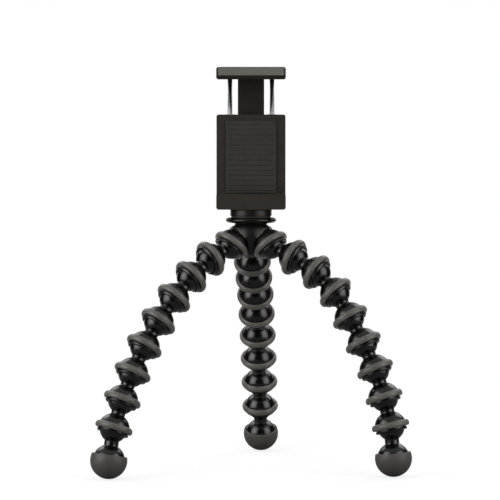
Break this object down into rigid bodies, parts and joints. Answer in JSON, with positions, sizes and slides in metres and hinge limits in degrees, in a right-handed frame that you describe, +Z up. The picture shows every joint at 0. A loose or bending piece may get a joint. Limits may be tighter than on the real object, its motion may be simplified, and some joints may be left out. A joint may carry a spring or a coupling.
{
  "type": "phone tripod",
  "caption": "Small tripod with flexible legs of ball-jointed links with rubber rings, and a tilting, turning spring clamp that holds a phone sideways.",
  "frame": {"origin": "on the floor under the axis of the hub, lock ring and base; the feet stand on z = 0", "axes": "+Z up along the mounting screw, -Y to the front, where the phone faces, +X to the right as seen from the front"},
  "size_m": [0.2005, 0.1921, 0.2562],
  "materials": {
    "link_plastic": "glossy moulded",
    "ring_rubber": "matte",
    "hub_plastic": "satin, fine grain",
    "ring_plastic": "glossy",
    "base_plastic": "satin",
    "jaw_plastic": "matte",
    "pad_rubber": "matte",
    "bush_plastic": "satin",
    "steel": "brushed",
    "brass": "machined"
  },
  "bodies": {
    "hub": {"hub": "hub_plastic", "hub_grip_rings": "ring_rubber", "mount_screw": "steel"},
    "lock_ring": {"lock_ring": "ring_plastic"},
    "base": {"base": "base_plastic", "base_insert": "brass", "base_pad": "pad_rubber", "tilt_bolt": "steel", "tilt_washers": "steel"},
    "tilt_knob": {"tilt_knob": "base_plastic"},
    "clamp": {"clamp_housing": "jaw_plastic", "back_cover": "base_plastic", "cover_screws": "steel", "lower_jaw_pad": "pad_rubber", "back_pad": "pad_rubber", "rod_bushes": "bush_plastic", "jaw_springs": "steel", "lever_pin": "steel"},
    "upper_jaw": {"upper_jaw": "jaw_plastic", "upper_jaw_pad": "pad_rubber", "guide_rods": "steel", "rod_clips": "steel"},
    "brake_shoe": {"brake_shoe": "steel"},
    "lock_lever": {"lock_lever": "base_plastic"},
    "left_link_1": {"left_link_1": "link_plastic"},
    "left_link_2": {"left_link_2": "link_plastic"},
    "left_link_3": {"left_link_3": "link_plastic"},
    "left_link_4": {"left_link_4": "link_plastic"},
    "left_link_5": {"left_link_5": "link_plastic"},
    "left_link_6": {"left_link_6": "link_plastic"},
    "left_link_7": {"left_link_7": "link_plastic"},
    "left_link_8": {"left_link_8": "link_plastic"},
    "left_foot": {"left_foot_core": "link_plastic", "left_foot_pad": "ring_rubber"},
    "right_link_1": {"right_link_1": "link_plastic"},
    "right_link_2": {"right_link_2": "link_plastic"},
    "right_link_3": {"right_link_3": "link_plastic"},
    "right_link_4": {"right_link_4": "link_plastic"},
    "right_link_5": {"right_link_5": "link_plastic"},
    "right_link_6": {"right_link_6": "link_plastic"},
    "right_link_7": {"right_link_7": "link_plastic"},
    "right_link_8": {"right_link_8": "link_plastic"},
    "right_foot": {"right_foot_core": "link_plastic", "right_foot_pad": "ring_rubber"},
    "back_link_1": {"back_link_1": "link_plastic"},
    "back_link_2": {"back_link_2": "link_plastic"},
    "back_link_3": {"back_link_3": "link_plastic"},
    "back_link_4": {"back_link_4": "link_plastic"},
    "back_link_5": {"back_link_5": "link_plastic"},
    "back_link_6": {"back_link_6": "link_plastic"},
    "back_link_7": {"back_link_7": "link_plastic"},
    "back_link_8": {"back_link_8": "link_plastic"},
    "back_foot": {"back_foot_core": "link_plastic", "back_foot_pad": "ring_rubber"}
  },
  "joints": [
    {"name": "base_swivel", "type": "hinge", "parent": "hub", "child": "base", "pos_m": [0, 0, 0.16558], "axis": [0, 0, 1], "continuous": true},
    {"name": "lock_ring_turn", "type": "hinge", "parent": "hub", "child": "lock_ring", "pos_m": [0, 0, 0.15673], "axis": [0, 0, 1], "continuous": true},
    {"name": "tilt_knob_turn", "type": "hinge", "parent": "base", "child": "tilt_knob", "pos_m": [0.01335, 0.023, 0.17398], "axis": [1, 0, 0], "continuous": true},
    {"name": "clamp_tilt", "type": "hinge", "parent": "base", "child": "clamp", "pos_m": [0, 0.023, 0.17398], "axis": [1, 0, 0], "range_deg": [-90, 0]},
    {"name": "jaw_slide", "type": "slide", "parent": "clamp", "child": "upper_jaw", "axis": [0, 0, 1], "range_m": [-0.023, 0.012], "deforming": ["jaw_springs"]},
    {"name": "lock_lever_turn", "type": "hinge", "parent": "clamp", "child": "lock_lever", "pos_m": [0, 0.019, 0.21408], "axis": [1, 0, 0], "range_deg": [0, 110]},
    {"name": "brake_shoe_slide", "type": "slide", "parent": "clamp", "child": "brake_shoe", "axis": [0, 1, 0], "range_m": [0, 0.0003]},
    {"name": "left_link_1_bend", "type": "hinge", "parent": "hub", "child": "left_link_1", "pos_m": [-0.01273, -0.00735, 0.14298], "axis": [-0.5592, 0.829, 0], "range_deg": [-53, 7]},
    {"name": "left_link_2_sway", "type": "hinge", "parent": "left_link_1", "child": "left_link_2", "pos_m": [-0.02625, -0.01647, 0.13467], "axis": [-0.5047, -0.3404, 0.7934], "range_deg": [-28.3, 28.3]},
    {"name": "left_link_3_bend", "type": "hinge", "parent": "left_link_2", "child": "left_link_3", "pos_m": [-0.03828, -0.02459, 0.12353], "axis": [0.5592, -0.829, 0], "range_deg": [-38.4, 21.6]},
    {"name": "left_link_4_sway", "type": "hinge", "parent": "left_link_3", "child": "left_link_4", "pos_m": [-0.04885, -0.03171, 0.1104], "axis": [0.6443, 0.4346, -0.6293], "range_deg": [-29.6, 29.6]},
    {"name": "left_link_5_bend", "type": "hinge", "parent": "left_link_4", "child": "left_link_5", "pos_m": [-0.0584, -0.03815, 0.09618], "axis": [-0.5592, 0.829, 0], "range_deg": [-25.5, 34.5]},
    {"name": "left_link_6_sway", "type": "hinge", "parent": "left_link_5", "child": "left_link_6", "pos_m": [-0.06699, -0.04395, 0.0811], "axis": [-0.732, -0.4937, 0.4695], "range_deg": [-29.4, 29.4]},
    {"name": "left_link_7_bend", "type": "hinge", "parent": "left_link_6", "child": "left_link_7", "pos_m": [-0.07411, -0.04875, 0.06494], "axis": [0.5592, -0.829, 0], "range_deg": [-34, 26]},
    {"name": "left_link_8_sway", "type": "hinge", "parent": "left_link_7", "child": "left_link_8", "pos_m": [-0.08028, -0.05292, 0.04822], "axis": [0.7815, 0.5271, -0.3338], "range_deg": [-29.7, 29.7]},
    {"name": "left_foot_bend", "type": "hinge", "parent": "left_link_8", "child": "left_foot", "pos_m": [-0.08535, -0.05633, 0.03097], "axis": [-0.5592, 0.829, 0], "range_deg": [-21, 39]},
    {"name": "right_link_1_bend", "type": "hinge", "parent": "hub", "child": "right_link_1", "pos_m": [0.01273, -0.00735, 0.14298], "axis": [-0.454, -0.891, 0], "range_deg": [-56, 4]},
    {"name": "right_link_2_sway", "type": "hinge", "parent": "right_link_1", "child": "right_link_2", "pos_m": [0.02763, -0.01494, 0.13554], "axis": [0.4455, -0.227, 0.866], "range_deg": [-29.4, 29.4]},
    {"name": "right_link_3_bend", "type": "hinge", "parent": "right_link_2", "child": "right_link_3", "pos_m": [0.04175, -0.02213, 0.12639], "axis": [0.454, 0.891, 0], "range_deg": [-43.9, 16.1]},
    {"name": "right_link_4_sway", "type": "hinge", "parent": "right_link_3", "child": "right_link_4", "pos_m": [0.0535, -0.02812, 0.1137], "axis": [-0.743, 0.3786, -0.5519], "range_deg": [-27.4, 27.4]},
    {"name": "right_link_5_bend", "type": "hinge", "parent": "right_link_4", "child": "right_link_5", "pos_m": [0.0625, -0.03271, 0.09844], "axis": [-0.454, -0.891, 0], "range_deg": [-26.5, 33.5]},
    {"name": "right_link_6_sway", "type": "hinge", "parent": "right_link_5", "child": "right_link_6", "pos_m": [0.07065, -0.03686, 0.08259], "axis": [0.7974, -0.4063, 0.4462], "range_deg": [-29.8, 29.8]},
    {"name": "right_link_7_bend", "type": "hinge", "parent": "right_link_6", "child": "right_link_7", "pos_m": [0.07793, -0.04057, 0.06622], "axis": [0.454, 0.891, 0], "range_deg": [-37, 23]},
    {"name": "right_link_8_sway", "type": "hinge", "parent": "right_link_7", "child": "right_link_8", "pos_m": [0.08337, -0.04334, 0.04897], "axis": [-0.8645, 0.4405, -0.2419], "range_deg": [-29.5, 29.5]},
    {"name": "right_foot_bend", "type": "hinge", "parent": "right_link_8", "child": "right_foot", "pos_m": [0.08731, -0.04535, 0.03121], "axis": [-0.454, -0.891, 0], "range_deg": [-21.5, 38.5]},
    {"name": "back_link_1_bend", "type": "hinge", "parent": "hub", "child": "back_link_1", "pos_m": [0, 0.0147, 0.14298], "axis": [0.9976, -0.0698, 0], "range_deg": [-37.5, 22.5]},
    {"name": "back_link_2_sway", "type": "hinge", "parent": "back_link_1", "child": "back_link_2", "pos_m": [0.00094, 0.02816, 0.13062], "axis": [0.0425, 0.6073, 0.7934], "range_deg": [-29.6, 29.6]},
    {"name": "back_link_3_bend", "type": "hinge", "parent": "back_link_2", "child": "back_link_3", "pos_m": [0.00195, 0.04264, 0.11948], "axis": [-0.9976, 0.0698, 0], "range_deg": [-33, 27]},
    {"name": "back_link_4_sway", "type": "hinge", "parent": "back_link_3", "child": "back_link_4", "pos_m": [0.00292, 0.05652, 0.10759], "axis": [-0.0514, -0.7355, -0.6756], "range_deg": [-29.2, 29.2]},
    {"name": "back_link_5_bend", "type": "hinge", "parent": "back_link_4", "child": "back_link_5", "pos_m": [0.00379, 0.06886, 0.0941], "axis": [0.9976, -0.0698, 0], "range_deg": [-23, 37]},
    {"name": "back_link_6_sway", "type": "hinge", "parent": "back_link_5", "child": "back_link_6", "pos_m": [0.00453, 0.07946, 0.0792], "axis": [0.0604, 0.8639, 0.5], "range_deg": [-29.5, 29.5]},
    {"name": "back_link_7_bend", "type": "hinge", "parent": "back_link_6", "child": "back_link_7", "pos_m": [0.00517, 0.08859, 0.06335], "axis": [-0.9976, 0.0698, 0], "range_deg": [-34.5, 25.5]},
    {"name": "back_link_8_sway", "type": "hinge", "parent": "back_link_7", "child": "back_link_8", "pos_m": [0.00572, 0.09644, 0.04684], "axis": [-0.0642, -0.9183, -0.3907], "range_deg": [-29.9, 29.9]},
    {"name": "back_foot_bend", "type": "hinge", "parent": "back_link_8", "child": "back_foot", "pos_m": [0.00621, 0.10358, 0.02999], "axis": [0.9976, -0.0698, 0], "range_deg": [-28, 32]}
  ],
  "couplings": [
    {"joint": "brake_shoe_slide", "follows": "lock_lever_turn", "m_per_rad": 0.00015626}
  ]
}
